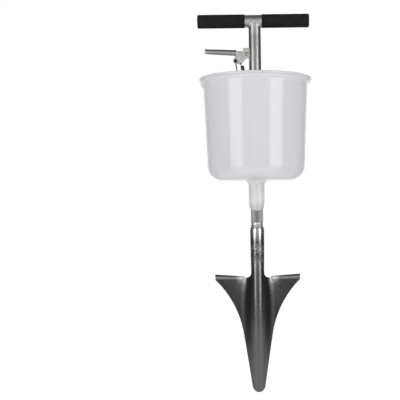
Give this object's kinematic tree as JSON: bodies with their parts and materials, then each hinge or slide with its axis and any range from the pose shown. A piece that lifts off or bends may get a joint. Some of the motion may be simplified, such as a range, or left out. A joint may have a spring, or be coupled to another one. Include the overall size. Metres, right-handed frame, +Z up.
{
  "type": "fertilizer applicator",
  "caption": "Hand fertilizer applicator: T-handle on a tube post with an open hopper, a squeeze lever that lifts a gate in the hopper, and a winged spade with a hollow back.",
  "frame": {"origin": "the spade's tip, on the axis of the post", "axes": "+Z up the post from the spade's tip to the T-handle, +X towards the right grip, -Y the front with the spade's ridge, +Y the back with the open hollow of the frog"},
  "size_m": [0.299, 0.2964, 0.996],
  "materials": {
    "satin_steel": "satin",
    "polished_steel": "polished",
    "blade_steel": "dark polished",
    "weld_metal": "bare weld",
    "zinc_hardware": "zinc plated",
    "dark_hardware": "black oxide",
    "spring_steel": "oiled",
    "grip_rubber": "matte",
    "gate_plastic": "matte",
    "hopper_plastic": "milky translucent"
  },
  "bodies": {
    "frame": {"crossbar_tube": "satin_steel", "left_grip": "grip_rubber", "right_grip": "grip_rubber", "tee_weld": "weld_metal", "handle_post": "satin_steel", "lever_bracket": "satin_steel", "bracket_weld": "weld_metal", "lever_pivot_bolt": "zinc_hardware", "lever_pivot_washer": "zinc_hardware", "lever_pivot_nut": "zinc_hardware", "floor_seal": "grip_rubber", "return_spring": "spring_steel", "spring_anchor": "satin_steel", "anchor_weld": "weld_metal", "hopper": "hopper_plastic", "neck_screws": "zinc_hardware", "socket_weld": "weld_metal", "socket_tube": "polished_steel", "blade_weld": "weld_metal", "spade_head": "blade_steel"},
    "lever": {"hand_lever": "satin_steel", "bell_crank": "satin_steel", "lever_weld": "weld_metal", "pull_rod_bolt": "dark_hardware", "pull_rod_nut": "dark_hardware"},
    "rod": {"pull_rod": "dark_hardware", "pull_rod_clip": "dark_hardware"},
    "gate": {"gate_sleeve": "gate_plastic"}
  },
  "joints": [
    {"name": "lever_squeeze", "type": "hinge", "parent": "frame", "child": "lever", "pos_m": [-0.0235, 0, 0.891], "axis": [0, 1, 0], "range_deg": [0, 20], "stiffness_Nm_per_rad": 4.9, "springref_deg": -2.29, "deforming": ["return_spring"]},
    {"name": "rod_swing", "type": "hinge", "parent": "lever", "child": "rod", "pos_m": [-0.0515, 0, 0.8732], "axis": [0, 1, 0], "range_deg": [-21.5, 0]},
    {"name": "gate_lift", "type": "slide", "parent": "frame", "child": "gate", "axis": [0, 0, 1], "range_m": [0, 0.0112]}
  ],
  "couplings": [
    {"joint": "rod_swing", "follows": "lever_squeeze", "ratio": -1.0483},
    {"joint": "gate_lift", "follows": "lever_squeeze", "m_per_rad": 0.0318}
  ]
}
